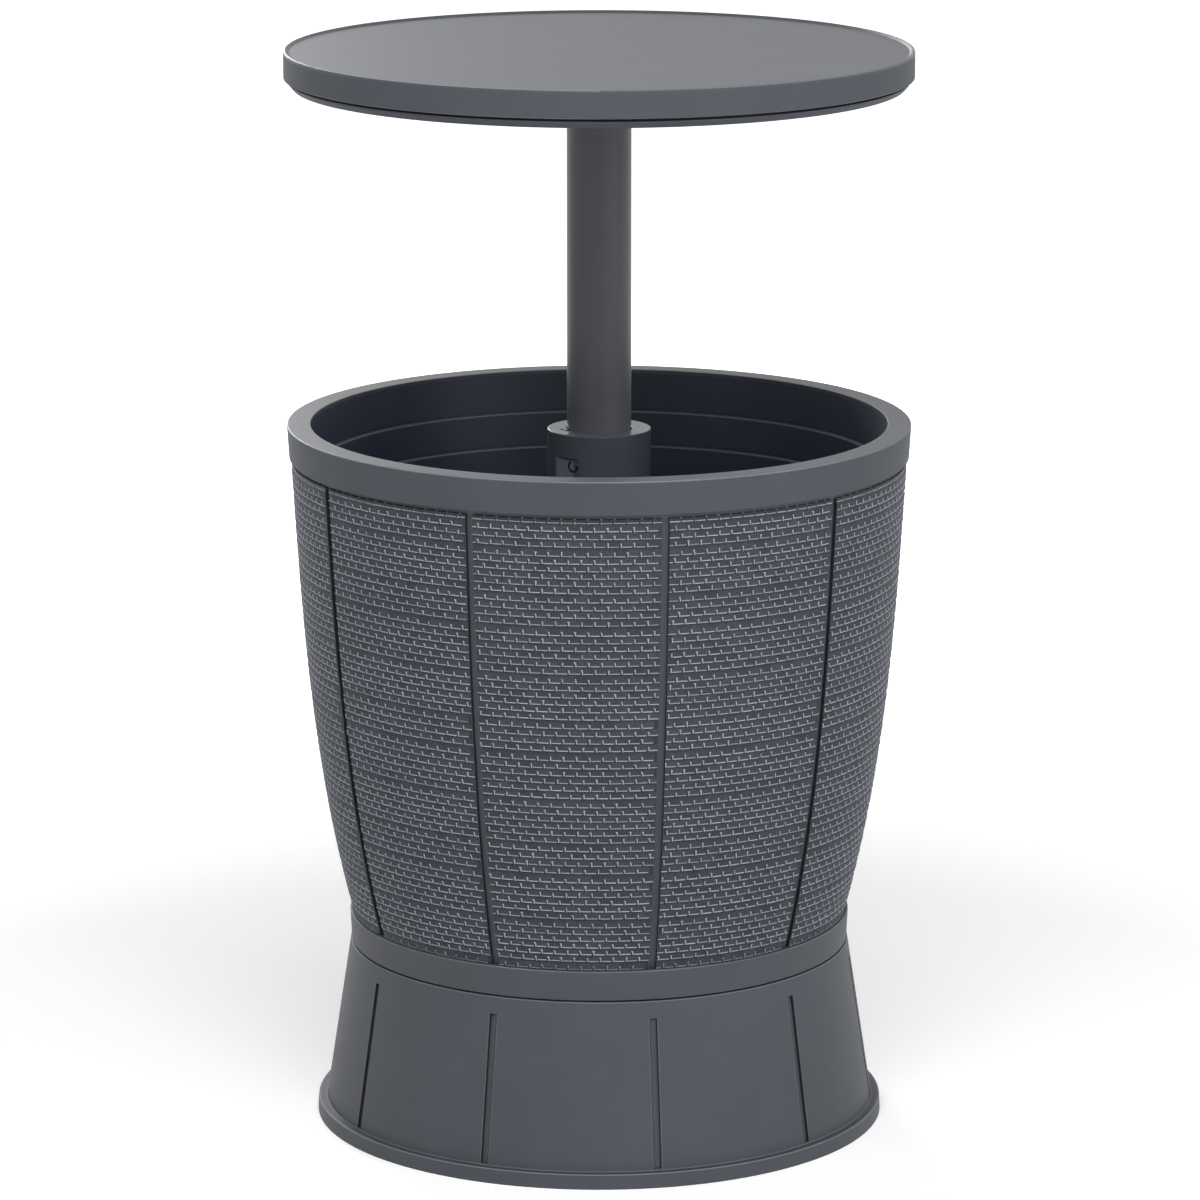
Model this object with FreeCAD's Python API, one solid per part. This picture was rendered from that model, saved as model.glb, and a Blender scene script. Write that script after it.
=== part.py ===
import FreeCAD, Part
import math
import os

V = FreeCAD.Vector

# Cooler table with lid, in millimetres. Origin on the ground on the vertical axis, +Z up,
# front towards -Y. The table top is modelled raised.

# Whole object
BASE_H = 143.2                # deck that the barrel stands on
RIM_TOP = 565.0               # top face of the tub's rim
LIFT = 267.2                  # travel of the table, from closed to raised
CLOSED_GAP = 0.3              # lid above rim when the table is down
RUN_GAP = 0.3                 # between pieces that move past each other
SNAP_GAP = 0.3                # round snap beads and covers
FACET_COUNT = 10              # seams round the barrel and slots round the base
SEAM_ANGLE = 12.0             # first seam, in degrees from the front towards +X

# Edge rounds shared by the moulded pieces
FINE_EDGE = 0.5
SMALL_EDGE = 0.8
EDGE = 1.2
ROOT = 3.0
OVERSHOOT = 1.0               # how far a cut runs past the face it opens

# Barrel shell: the outer face of the woven fields is one cubic curve
FIELD_TOP_R = 243.7
FIELD_TOP_LEAN_ANGLE = 3.2    # off the vertical
FIELD_BOTTOM_R = 197.8
FIELD_BOTTOM_LEAN_ANGLE = 14.7
SHELL_WALL = 3.0
SHELL_FLOOR = 3.0
SHELL_FLANGE_T = 3.0
SHELL_FLANGE_W = 8.0
SEAM_W = 6.0
SEAM_DEPTH = 2.8
SEAM_BACKING_W = 14.0
NECK_SHOWN = 3.5              # neck left open between the fields and the rim's skirt
BAND_H = 23.6
BAND_GAP = 1.2                # shadow line between band and base
BAND_PROUD = 3.1              # band beyond the fields' foot
BAND_DRAFT = 1.1
BAND_EDGE = 0.7
BAND_LEDGE = 1.0
SHELL_FOOT_INSET = 4.0        # barrel's foot, inside its band

# Rim ring
RIM_H = 27.0
RIM_W = 18.7
RIM_T = 3.0
RIM_DRAFT = 1.6
RIM_EDGE = 1.0
RIM_INNER_EDGE = 0.5
RIM_SKIRT_PROUD = 2.4         # skirt's foot beyond the fields
RIM_SKIRT_WALL = 2.4
BEAD_UP = 2.0                 # snap bead above the skirt's foot
BEAD_H = 4.0

# Liner with its central sleeve
LINER_WALL = 3.0
LINER_DEPTH = 295.0
LINER_FLOOR_CLEAR = 16.3      # floor's corner inside the face of the woven fields
LINER_FLOOR_ROUND = 14.0
LINER_FLANGE_INSET = 0.9      # flange's edge inside the barrel's neck
LINER_STEP_DEPTHS = (34.0, 62.0)
LINER_STEP_W = 3.2
LINER_STEP_LEAN = 2.2         # draft of the wall above each step
SLEEVE_TOP_WALL = 2.4
SLEEVE_FIT = 0.4
SLEEVE_LEAN_R = 2.6           # how much wider the sleeve is at the floor
SLEEVE_ROOT = 6.0
SLEEVE_LIP_T = 3.0
SLEEVE_LIP_REACH = 2.6        # lip over the collet's flange
SLEEVE_BEAD_STAND = 1.2
SLEEVE_BEAD_EDGE = 0.6

# Lid
TABLE_INSET = 0.2             # table's edge inside the rim's
LIP_H = 1.8
LIP_W = 4.5
LIP_ROUND = 1.6
LIP_FOOT_ROUND = 1.0
TOP_WALL = 3.0
TOP_SKIN_H = 21.8
LID_H = 29.5
SHADOW_GAP = 1.9              # groove between the two skins
UNDER_INSET = 3.5             # lower skin inside the upper one
UNDER_LEAN = 4.0
UNDER_WALL = 3.0
UNDER_ROUND = 4.5
SPIGOT_CLEAR = 3.0            # inside the upper skin's wall
SPIGOT_WALL = 3.0
SPIGOT_H = 7.0
LOCATING_CLEAR = 3.0          # locating ring inside the rim's mouth
LOCATING_W = 4.0
LOCATING_H = 2.0
LID_RIB_T = 2.0
LID_RIB_COUNT = 12
LID_RIB_DROP = 14.0
LID_RING_RIB_R = 120.0
LID_BOSS_R = 5.0
LID_OUTER_BOSS_INSET = 21.0   # outer bosses inside the locating ring
LID_OUTER_BOSS_COUNT = 8
LID_INNER_BOSS_CIRCLE_R = 150.0
LID_INNER_BOSS_COUNT = 4
SEAL_REACH = 8.0              # seal's outer edge beyond the rim's mouth
SEAL_W = 6.0
SEAL_T = 1.6
SEAL_PROUD = 0.2

# Post, its socket in the lid and its shoe
POST_R = 25.5
POST_WALL = 2.5
SOCKET_WALL = 5.0
SOCKET_FIT = 0.1
SOCKET_ROOF = 3.0
HUB_SCREW_OUT = 21.5          # hub screws beyond the post's face
HUB_FLANGE_RIM = 15.0         # flange beyond the hub screws
HUB_FLANGE_T = 4.0
HUB_SCREW_COUNT = 6
HEAD_PIN_R = 3.0
SHOE_H = 45.0
SHOE_WALL = 3.1
SHOE_FLOOR = 4.0
SHOE_EDGE = 1.5
SHOE_PIN_R = 2.5
SHOE_PIN_UP = 16.0
KEY_W = 8.0
KEY_H = 2.0
KEY_ROOT = 1.5                # key sunk in the body that carries it

# Collar, collet and guide tube
COLLAR_DROP = 5.5             # collar's top below the rim's
COLLAR_H = 54.5
COLLAR_WALL = 3.8
COLLAR_PLATE = 7.0
COLLAR_BORE_GAP = 0.7
COLLAR_TURN_ANGLE = 40.0
FACET_ANGLE = -40.0           # middle of the thumb facet, from the front towards +X
FACET_SPAN = 33.0
FACET_TOP_DROP = 18.5
FACET_H = 30.0
COLLET_HEAD_GAP = 1.5
COLLET_H = 31.0
COLLET_WALL = 3.2
COLLET_FLANGE_T = 3.0
COLLET_LUG_H = 3.0
COLLET_SLIT_W = 2.0
COLLET_SLIT_COUNT = 6
COLLET_SLIT_FOOT = 6.0
CAM_COUNT = 3
CAM_RISE = 2.2
CAM_H = 10.0
CAM_DROP = 13.0               # cams' foot below the collet's top
CAM_ROOM = 2.0                # above and below the cams
CAM_SPAN = 30.0
CAM_POCKET_SPAN = 42.0
CAM_POCKET_DEPTH = 2.0
GUIDE_WALL = 4.0
GUIDE_FLANGE_W = 22.0
GUIDE_FLANGE_T = 4.0
GUIDE_SCREW_OUT = 12.0        # guide screws beyond the tube's face
GUIDE_SCREW_COUNT = 4
KEYWAY_FOOT = 10.0            # plain stretch above the flange

# Base skirt
BASE_PROUD = 0.7              # base beyond the band's foot
BASE_FLARE = 20.2
BASE_WALL = 3.5
BASE_EDGE = 1.0
FOOT_H = 12.0
FOOT_LEDGE = 6.8
FOOT_DRAFT = 0.7
FOOT_EDGE = 1.0
DECK_T = 3.5
DECK_W = 80.5
SLOT_W = 5.5
SLOT_DEPTH = 2.2
SLOT_FOOT = 1.0               # above the foot flange
SLOT_HEAD = 13.5              # below the deck
SLOT_BACKING_W = 12.0
GUSSET_T = 3.0
GUSSET_REACH = 38.0
GUSSET_H = 42.0
BASE_SCREW_INSET = 40.5
BASE_SCREW_COUNT = 6

# Fasteners
SCREW_R = 2.0
SCREW_HEAD_R = 4.2
SCREW_HEAD_T = 2.4
SCREW_PLAY = 0.3
SCREW_BITE = 9.0
SCREW_TIP_EDGE = 0.5
SCREW_SOCKET_R = 1.5
SCREW_SOCKET_T = 1.2
BOSS_WALL = 3.5
BOSS_FLOOR = 2.0

# Drain
DRAIN_INSET = 63.0            # inside the corner of the liner's floor
DRAIN_ANGLE = 135.0
DRAIN_BORE_R = 8.5
DRAIN_WALL = 3.5
DRAIN_FLANGE_W = 8.0
DRAIN_FLANGE_T = 2.5
DRAIN_OUTLET_DROP = 12.5      # outlet below the base's deck
DRAIN_PLAY = 0.5
WASHER_INSET = 1.0
WASHER_T = 2.0
NUT_T = 10.0
NUT_FLATS = 36.0
NUT_CHAMFER = 1.6
PLUG_GAP = 0.3
PLUG_STEM = 12.0
PLUG_TAPER = 0.6
PLUG_HEAD_W = 5.8
PLUG_HEAD_T = 3.5
PULL_R = 8.0
PULL_WIRE_R = 1.6

# Heights worked out from the sizes above
OPEN_H = RIM_TOP + CLOSED_GAP + LID_H + LIFT
LID_BOTTOM = OPEN_H - LID_H
TOP_SKIN_BOTTOM = OPEN_H - TOP_SKIN_H
UNDER_TOP = TOP_SKIN_BOTTOM - SHADOW_GAP
TABLE_FACE = OPEN_H - LIP_H
CEILING = TABLE_FACE - TOP_WALL
UNDER_FACE = LID_BOTTOM + UNDER_WALL
SOCKET_TOP = CEILING - RUN_GAP - SOCKET_ROOF
HEAD_PIN_Z = (UNDER_FACE + HUB_FLANGE_T + SOCKET_TOP) / 2
RIM_BOTTOM = RIM_TOP - RIM_H
LINER_FLANGE_TOP = RIM_TOP - RIM_T
LINER_FLANGE_BOTTOM = LINER_FLANGE_TOP - LINER_WALL
LINER_FLOOR_Z = RIM_TOP - LINER_DEPTH
FIELD_TOP_Z = RIM_BOTTOM - NECK_SHOWN
BAND_BOTTOM_Z = BASE_H + BAND_GAP
FIELD_BOTTOM_Z = BAND_BOTTOM_Z + BAND_H
SHELL_FLOOR_TOP = BASE_H + SHELL_FLOOR
DECK_UNDER = BASE_H - DECK_T
COLLAR_TOP = RIM_TOP - COLLAR_DROP
COLLAR_BOTTOM = COLLAR_TOP - COLLAR_H
COLLET_TOP = COLLAR_TOP - COLLAR_PLATE - COLLET_HEAD_GAP
CAM_BOTTOM = COLLET_TOP - CAM_DROP
CAM_TOP = CAM_BOTTOM + CAM_H
GUIDE_TOP = COLLET_TOP - COLLET_H
SLEEVE_LIP_Z = GUIDE_TOP + COLLET_FLANGE_T
SLEEVE_TOP = SLEEVE_LIP_Z + SLEEVE_LIP_T
GUIDE_FLANGE_TOP = SHELL_FLOOR_TOP + GUIDE_FLANGE_T
SHOE_TOP = GUIDE_TOP - RUN_GAP
SHOE_BOTTOM = SHOE_TOP - SHOE_H
SHOE_FLOOR_TOP = SHOE_BOTTOM + SHOE_FLOOR
SHOE_PIN_Z = SHOE_FLOOR_TOP + SHOE_PIN_UP

# Curve of the fields' face: two inner poles at a third of its height from either end
FIELD_THIRD = (FIELD_TOP_Z - FIELD_BOTTOM_Z) / 3
LOW_POLE_R = FIELD_BOTTOM_R + FIELD_THIRD * math.tan(math.radians(FIELD_BOTTOM_LEAN_ANGLE))
TOP_POLE_R = FIELD_TOP_R - FIELD_THIRD * math.tan(math.radians(FIELD_TOP_LEAN_ANGLE))


def field_radius(z):
    """Radius of the fields' face at a height."""
    t = (z - FIELD_BOTTOM_Z) / (FIELD_TOP_Z - FIELD_BOTTOM_Z)
    rest = 1 - t
    ends = FIELD_BOTTOM_R * rest ** 3 + FIELD_TOP_R * t ** 3
    return ends + 3 * rest * t * (LOW_POLE_R * rest + TOP_POLE_R * t)


# Radii worked out from the sizes above
NECK_R = FIELD_TOP_R - SEAM_DEPTH
RIM_SKIRT_R = FIELD_TOP_R + RIM_SKIRT_PROUD
RIM_R = RIM_SKIRT_R + RIM_DRAFT
MOUTH_R = RIM_R - RIM_W
LINER_FLANGE_R = NECK_R - LINER_FLANGE_INSET
LINER_FLOOR_R = field_radius(LINER_FLOOR_Z) - LINER_FLOOR_CLEAR
TABLE_R = RIM_R - TABLE_INSET
UNDER_R = TABLE_R - UNDER_INSET
UNDER_FOOT_R = UNDER_R - UNDER_LEAN
SPIGOT_R = TABLE_R - TOP_WALL - SPIGOT_CLEAR
SPIGOT_R_IN = SPIGOT_R - SPIGOT_WALL
LOCATING_R = MOUTH_R - LOCATING_CLEAR
SEAL_R = MOUTH_R + SEAL_REACH
SOCKET_R_IN = POST_R + SOCKET_FIT
SOCKET_R = SOCKET_R_IN + SOCKET_WALL
HUB_SCREW_CIRCLE_R = POST_R + HUB_SCREW_OUT
HUB_FLANGE_R = HUB_SCREW_CIRCLE_R + HUB_FLANGE_RIM
SHOE_R = SOCKET_R_IN + SHOE_WALL
GUIDE_R_IN = SHOE_R + RUN_GAP
GUIDE_R = GUIDE_R_IN + GUIDE_WALL
GUIDE_SCREW_CIRCLE_R = GUIDE_R + GUIDE_SCREW_OUT
SLEEVE_R_IN = GUIDE_R + SLEEVE_FIT
SLEEVE_R = SLEEVE_R_IN + SLEEVE_TOP_WALL
SLEEVE_BEAD_R = SLEEVE_R + SLEEVE_BEAD_STAND
COLLET_R_IN = POST_R + RUN_GAP
COLLET_R = COLLET_R_IN + COLLET_WALL
CAM_R = COLLET_R + CAM_RISE
COLLAR_R_IN = SLEEVE_BEAD_R + SNAP_GAP
COLLAR_R = COLLAR_R_IN + COLLAR_WALL
BAND_TOP_R = FIELD_BOTTOM_R + BAND_PROUD
BAND_BOTTOM_R = BAND_TOP_R - BAND_DRAFT
BASE_TOP_R = BAND_BOTTOM_R + BASE_PROUD
BASE_FOOT_R = BASE_TOP_R + BASE_FLARE
FOOT_TOP_R = BASE_FOOT_R + FOOT_LEDGE
FOOT_R = FOOT_TOP_R + FOOT_DRAFT
BASE_SCREW_CIRCLE_R = BASE_TOP_R - BASE_SCREW_INSET
DRAIN_R = DRAIN_BORE_R + DRAIN_WALL
DRAIN_FLANGE_R = DRAIN_R + DRAIN_FLANGE_W
DRAIN_CIRCLE_R = LINER_FLOOR_R - DRAIN_INSET


def corner(before, here, after):
    """Start, middle and end of the arc that rounds one corner of a profile."""
    at = V(here[0], 0, here[1])
    back = V(before[0], 0, before[1]) - at
    ahead = V(after[0], 0, after[1]) - at
    half = back.getAngle(ahead) / 2
    back.normalize()
    ahead.normalize()
    reach = here[2] / math.tan(half)
    middle = back + ahead
    middle.normalize()
    depth = here[2] / math.sin(half) - here[2]
    return at + back * reach, at + middle * depth, at + ahead * reach


def profile(points):
    """Closed wire in the XZ plane from (radius, height) points.

    A third number rounds the corner. An item of four numbers gives the two inner poles of
    a cubic curve between its neighbours.
    """
    corners = [p for p in points if len(p) < 4]
    poles = {}
    for index, point in enumerate(points):
        if len(point) == 4:
            poles[corners.index(points[index - 1])] = point
    spots = []
    edges = []
    for index, here in enumerate(corners):
        if len(here) == 3:
            start, middle, end = corner(corners[index - 1], here, corners[(index + 1) % len(corners)])
            edges.append(Part.Arc(start, middle, end).toShape())
            spots.append((start, end))
        else:
            at = V(here[0], 0, here[1])
            spots.append((at, at))
    for index, (_, end) in enumerate(spots):
        following = spots[(index + 1) % len(spots)][0]
        if index in poles:
            first_r, first_z, second_r, second_z = poles[index]
            curve = Part.BezierCurve()
            curve.setPoles([end, V(first_r, 0, first_z), V(second_r, 0, second_z), following])
            edges.append(curve.toShape())
        elif end.distanceToPoint(following) > 1e-6:
            edges.append(Part.LineSegment(end, following).toShape())
    return Part.Wire(Part.__sortEdges__(edges))


def turned(points):
    """Solid of revolution about the vertical axis."""
    return Part.Face(profile(points)).revolve(V(0, 0, 0), V(0, 0, 1), 360)


def tube(inner, outer, low, high):
    return turned([(inner, low), (outer, low), (outer, high), (inner, high)])


def rod(radius, low, high, x=0.0, y=0.0):
    return Part.makeCylinder(radius, high - low, V(x, y, low))


def slab(width, near, far, low, high):
    """Radial slab at the front, between two distances from the axis."""
    return Part.makeBox(width, far - near, high - low, V(-width / 2, -far, low))


def swung(shape, degrees):
    """Copy turned about the axis: 0 is the front, positive towards +X."""
    copy = shape.copy()
    copy.rotate(V(0, 0, 0), V(0, 0, 1), degrees)
    return copy


def around(shape, count, start=0.0):
    return [swung(shape, start + 360.0 * k / count) for k in range(count)]


def fused(first, others):
    return first.fuse(list(others)).removeSplitter()


def cut_by(first, others):
    return first.cut(list(others))


def sector(inner, outer, low, high, span):
    """Piece of a ring at the front, span degrees wide."""
    ring = Part.makeCylinder(outer, high - low, V(0, 0, low), V(0, 0, 1), span)
    ring = ring.cut(Part.makeCylinder(inner, high - low, V(0, 0, low)))
    ring.rotate(V(0, 0, 0), V(0, 0, 1), -90 - span / 2)
    return ring


def cross_pin(radius, half_length, height):
    return Part.makeCylinder(radius, 2 * half_length, V(-half_length, 0, height), V(1, 0, 0))


def screw(head_face, direction, reach, x=0.0, y=0.0):
    """Pan-head screw: head on head_face, shank running along direction (+1 or -1)."""
    body = turned([
        (SCREW_SOCKET_R, -SCREW_HEAD_T),
        (SCREW_HEAD_R, -SCREW_HEAD_T, SMALL_EDGE),
        (SCREW_HEAD_R, 0),
        (SCREW_R, 0),
        (SCREW_R, reach, SCREW_TIP_EDGE),
        (0, reach),
        (0, SCREW_SOCKET_T - SCREW_HEAD_T),
        (SCREW_SOCKET_R, SCREW_SOCKET_T - SCREW_HEAD_T),
    ])
    if direction < 0:
        body.rotate(V(0, 0, 0), V(1, 0, 0), 180)
    body.translate(V(x, y, head_face))
    return body


def lid_boss_spots():
    """Places of the bosses that the two skins of the lid are screwed together at."""
    outer = (LOCATING_R - LID_OUTER_BOSS_INSET, LID_OUTER_BOSS_COUNT)
    inner = (LID_INNER_BOSS_CIRCLE_R, LID_INNER_BOSS_COUNT)
    for radius, count in (outer, inner):
        for k in range(count):
            angle = math.radians(360.0 * (k + 0.5) / count)
            yield radius * math.cos(angle), radius * math.sin(angle)


def make_table_top():
    inner = TABLE_R - TOP_WALL
    skin = turned([
        (0, CEILING),
        (inner, CEILING, ROOT),
        (inner, TOP_SKIN_BOTTOM),
        (TABLE_R, TOP_SKIN_BOTTOM, SMALL_EDGE),
        (TABLE_R, OPEN_H, LIP_ROUND),
        (TABLE_R - LIP_W / 2, OPEN_H, FINE_EDGE),
        (TABLE_R - LIP_W, TABLE_FACE, LIP_FOOT_ROUND),
        (0, TABLE_FACE),
    ])
    low = CEILING - LID_RIB_DROP
    rib = slab(LID_RIB_T, HUB_FLANGE_R, SPIGOT_R_IN - RUN_GAP, low, CEILING)
    ribs = around(rib, LID_RIB_COUNT)
    ring = tube(LID_RING_RIB_R - LID_RIB_T, LID_RING_RIB_R, low, CEILING)
    bosses = [rod(LID_BOSS_R, UNDER_FACE, CEILING, x, y) for x, y in lid_boss_spots()]
    bite = UNDER_FACE + SCREW_BITE + BOSS_FLOOR
    bores = [rod(SCREW_R, UNDER_FACE, bite, x, y) for x, y in lid_boss_spots()]
    return cut_by(fused(skin, ribs + [ring] + bosses), bores)


def make_table_underside():
    locating_in = LOCATING_R - LOCATING_W
    groove_in = SEAL_R - SEAL_W
    groove_top = LID_BOTTOM + SEAL_T - SEAL_PROUD
    bore = POST_R + RUN_GAP
    skin = turned([
        (bore, LID_BOTTOM),
        (locating_in, LID_BOTTOM),
        (locating_in, LID_BOTTOM - LOCATING_H, SMALL_EDGE),
        (LOCATING_R, LID_BOTTOM - LOCATING_H, SMALL_EDGE),
        (LOCATING_R, LID_BOTTOM),
        (groove_in, LID_BOTTOM),
        (groove_in, groove_top),
        (SEAL_R, groove_top),
        (SEAL_R, LID_BOTTOM),
        (UNDER_FOOT_R, LID_BOTTOM, UNDER_ROUND / 3),
        (UNDER_R, LID_BOTTOM + UNDER_ROUND, UNDER_ROUND / 3),
        (UNDER_R, UNDER_TOP, FINE_EDGE),
        (SPIGOT_R, UNDER_TOP),
        (SPIGOT_R, UNDER_TOP + SPIGOT_H, FINE_EDGE),
        (SPIGOT_R_IN, UNDER_TOP + SPIGOT_H, FINE_EDGE),
        (SPIGOT_R_IN, UNDER_FACE),
        (bore, UNDER_FACE),
    ])
    low = LID_BOTTOM - OVERSHOOT
    high = UNDER_FACE + OVERSHOOT
    holes = [rod(SCREW_R + SCREW_PLAY, low, high, x, y) for x, y in lid_boss_spots()]
    hub_hole = rod(SCREW_R + SCREW_PLAY, low, high, 0, -HUB_SCREW_CIRCLE_R)
    return cut_by(skin, holes + around(hub_hole, HUB_SCREW_COUNT))


def make_lid_screws():
    reach = UNDER_WALL + SCREW_BITE
    return Part.makeCompound([screw(LID_BOTTOM, 1, reach, x, y) for x, y in lid_boss_spots()])


def make_lid_seal():
    low = LID_BOTTOM - SEAL_PROUD
    return tube(SEAL_R - SEAL_W, SEAL_R, low, low + SEAL_T)


def make_post_head():
    flange_top = UNDER_FACE + HUB_FLANGE_T
    body = turned([
        (SOCKET_R_IN, UNDER_FACE),
        (HUB_FLANGE_R, UNDER_FACE),
        (HUB_FLANGE_R, flange_top, EDGE),
        (SOCKET_R, flange_top, ROOT),
        (SOCKET_R, CEILING - RUN_GAP, EDGE),
        (0, CEILING - RUN_GAP),
        (0, SOCKET_TOP),
        (SOCKET_R_IN, SOCKET_TOP),
    ])
    boss_top = UNDER_FACE + SCREW_BITE + BOSS_FLOOR
    boss = rod(SCREW_R + BOSS_WALL, UNDER_FACE, boss_top, 0, -HUB_SCREW_CIRCLE_R)
    thread = rod(SCREW_R, UNDER_FACE - OVERSHOOT, UNDER_FACE + SCREW_BITE, 0, -HUB_SCREW_CIRCLE_R)
    body = fused(body, around(boss, HUB_SCREW_COUNT))
    body = cut_by(body, around(thread, HUB_SCREW_COUNT))
    return body.cut(cross_pin(HEAD_PIN_R, SOCKET_R + OVERSHOOT, HEAD_PIN_Z))


def make_hub_screws():
    one = screw(LID_BOTTOM, 1, UNDER_WALL + SCREW_BITE, 0, -HUB_SCREW_CIRCLE_R)
    return Part.makeCompound(around(one, HUB_SCREW_COUNT))


def make_head_pin():
    return cross_pin(HEAD_PIN_R, SOCKET_R, HEAD_PIN_Z)


def make_post_tube():
    post = tube(POST_R - POST_WALL, POST_R, SHOE_FLOOR_TOP, SOCKET_TOP)
    head_hole = cross_pin(HEAD_PIN_R, POST_R + OVERSHOOT, HEAD_PIN_Z)
    shoe_hole = cross_pin(SHOE_PIN_R, POST_R + OVERSHOOT, SHOE_PIN_Z)
    return cut_by(post, [head_hole, shoe_hole])


def make_guide_shoe():
    body = turned([
        (0, SHOE_BOTTOM),
        (SHOE_R, SHOE_BOTTOM, SHOE_EDGE),
        (SHOE_R, SHOE_TOP, SMALL_EDGE),
        (SOCKET_R_IN, SHOE_TOP),
        (SOCKET_R_IN, SHOE_FLOOR_TOP),
        (0, SHOE_FLOOR_TOP),
    ])
    key_top = SHOE_TOP - COLLET_LUG_H - RUN_GAP
    key = slab(KEY_W, SHOE_R - KEY_ROOT, SHOE_R + KEY_H, SHOE_BOTTOM + SHOE_EDGE, key_top)
    body = fused(body, around(key, 2, 90))
    return body.cut(cross_pin(SHOE_PIN_R, SHOE_R + KEY_H + OVERSHOOT, SHOE_PIN_Z))


def make_shoe_pin():
    return cross_pin(SHOE_PIN_R, SHOE_R - RUN_GAP, SHOE_PIN_Z)


def make_guide_tube():
    flange_r = GUIDE_R + GUIDE_FLANGE_W
    body = turned([
        (GUIDE_R_IN, SHELL_FLOOR_TOP),
        (flange_r, SHELL_FLOOR_TOP),
        (flange_r, GUIDE_FLANGE_TOP, EDGE),
        (GUIDE_R, GUIDE_FLANGE_TOP, ROOT),
        (GUIDE_R, GUIDE_TOP),
        (GUIDE_R_IN, GUIDE_TOP),
    ])
    keyway_w = KEY_W + 2 * RUN_GAP
    keyway_r = SHOE_R + KEY_H + RUN_GAP
    keyway = slab(keyway_w, GUIDE_R_IN - KEY_ROOT, keyway_r, GUIDE_FLANGE_TOP + KEYWAY_FOOT, GUIDE_TOP)
    low = SHELL_FLOOR_TOP - OVERSHOOT
    hole = rod(SCREW_R + SCREW_PLAY, low, GUIDE_FLANGE_TOP + OVERSHOOT, 0, -GUIDE_SCREW_CIRCLE_R)
    return cut_by(body, around(keyway, 2, 90) + around(hole, GUIDE_SCREW_COUNT, 45))


def make_guide_screws():
    one = screw(GUIDE_FLANGE_TOP, -1, GUIDE_FLANGE_T + SCREW_BITE, 0, -GUIDE_SCREW_CIRCLE_R)
    return Part.makeCompound(around(one, GUIDE_SCREW_COUNT, 45))


def make_collet():
    body = turned([
        (COLLET_R_IN, GUIDE_TOP),
        (GUIDE_R, GUIDE_TOP),
        (GUIDE_R, SLEEVE_LIP_Z),
        (COLLET_R, SLEEVE_LIP_Z),
        (COLLET_R, COLLET_TOP, SMALL_EDGE),
        (COLLET_R_IN, COLLET_TOP),
    ])
    lug_foot = GUIDE_TOP - COLLET_LUG_H
    lug = slab(KEY_W, GUIDE_R_IN - KEY_ROOT, SHOE_R + KEY_H, lug_foot, GUIDE_TOP)
    lug = lug.common(tube(GUIDE_R_IN + SNAP_GAP, GUIDE_R, lug_foot, GUIDE_TOP))
    cam = sector(COLLET_R - FINE_EDGE, CAM_R, CAM_BOTTOM, CAM_TOP, CAM_SPAN)
    body = fused(body, around(lug, 2, 90) + around(cam, CAM_COUNT))
    slit_foot = SLEEVE_LIP_Z + COLLET_SLIT_FOOT
    slit = slab(COLLET_SLIT_W, COLLET_R_IN - OVERSHOOT, CAM_R + OVERSHOOT, slit_foot, COLLET_TOP + OVERSHOOT)
    return cut_by(body, around(slit, COLLET_SLIT_COUNT, 180.0 / COLLET_SLIT_COUNT))


def make_collar():
    plate_bottom = COLLAR_TOP - COLLAR_PLATE
    bore = POST_R + COLLAR_BORE_GAP
    land_in = CAM_R + SNAP_GAP
    chamber = land_in + CAM_POCKET_DEPTH
    seat = SLEEVE_TOP + SNAP_GAP
    catch_in = SLEEVE_R + SNAP_GAP
    catch_top = SLEEVE_LIP_Z - BEAD_H - SNAP_GAP
    catch_foot = SLEEVE_LIP_Z - 2 * BEAD_H
    land_foot = CAM_BOTTOM - CAM_ROOM
    land_top = CAM_TOP + CAM_ROOM
    body = turned([
        (bore, plate_bottom),
        (bore, COLLAR_TOP, FINE_EDGE),
        (COLLAR_R, COLLAR_TOP, SMALL_EDGE),
        (COLLAR_R, COLLAR_BOTTOM, SMALL_EDGE),
        (COLLAR_R_IN, COLLAR_BOTTOM),
        (COLLAR_R_IN, catch_foot),
        (catch_in, catch_foot + SMALL_EDGE),
        (catch_in, catch_top),
        (COLLAR_R_IN, catch_top),
        (COLLAR_R_IN, seat),
        (chamber, seat),
        (chamber, land_foot),
        (land_in, land_foot),
        (land_in, land_top),
        (chamber, land_top),
        (chamber, plate_bottom),
    ])
    pocket_foot = land_foot - OVERSHOOT
    pocket = sector(land_in - OVERSHOOT, chamber, pocket_foot, land_top + OVERSHOOT, CAM_POCKET_SPAN)
    facet_depth = COLLAR_R * math.cos(math.radians(FACET_SPAN / 2))
    facet_top = COLLAR_TOP - FACET_TOP_DROP
    facet = slab(COLLAR_R, facet_depth, COLLAR_R + OVERSHOOT, facet_top - FACET_H, facet_top)
    cuts = around(pocket, CAM_COUNT, -COLLAR_TURN_ANGLE) + around(facet, 2, FACET_ANGLE)
    return cut_by(body, cuts)


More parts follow.
